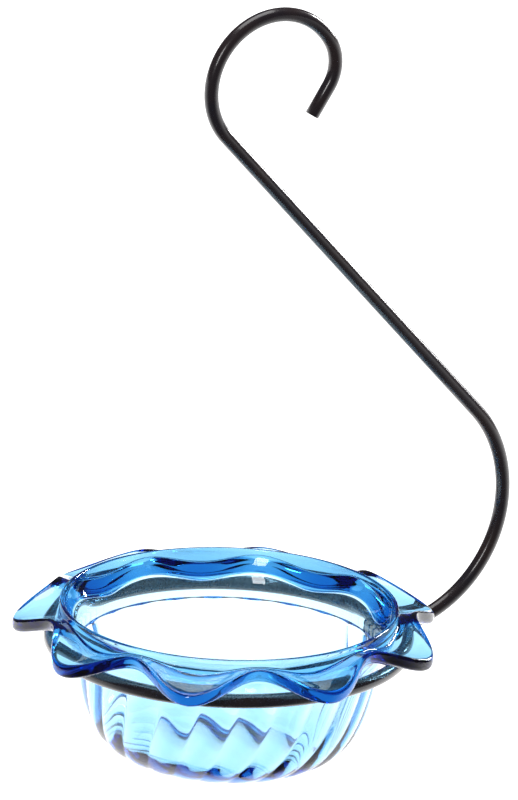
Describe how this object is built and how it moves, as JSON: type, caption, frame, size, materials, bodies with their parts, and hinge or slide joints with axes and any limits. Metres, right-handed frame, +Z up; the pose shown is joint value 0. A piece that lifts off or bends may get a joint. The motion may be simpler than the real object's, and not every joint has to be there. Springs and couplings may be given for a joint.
{
  "type": "bird bath",
  "caption": "Hanging bird bath: a blue glass dish with a ruffled, petalled flange rests in a black steel hoop, hung from a tall S-shaped rod hook.",
  "frame": {"origin": "on the dish's vertical axis, at the underside of the dish's flat base", "axes": "+Z up along the dish's axis; the hanger rod lies in the XZ plane and rises on the +X side"},
  "size_m": [0.232, 0.184, 0.3411],
  "materials": {
    "blue_glass": "polished translucent blue moulded glass",
    "black_powder_coat": "glossy black powder coat on steel rod"
  },
  "bodies": {
    "hanger": {"ring_hoop": "black_powder_coat", "hoop_weld": "black_powder_coat", "hanger_hook": "black_powder_coat", "hook_weld": "black_powder_coat"},
    "dish": {"glass_dish": "blue_glass"}
  },
  "joints": [
    {"name": "dish_lift", "type": "slide", "parent": "hanger", "child": "dish", "axis": [0, 0, 1], "range_m": [0, 0.08]}
  ]
}
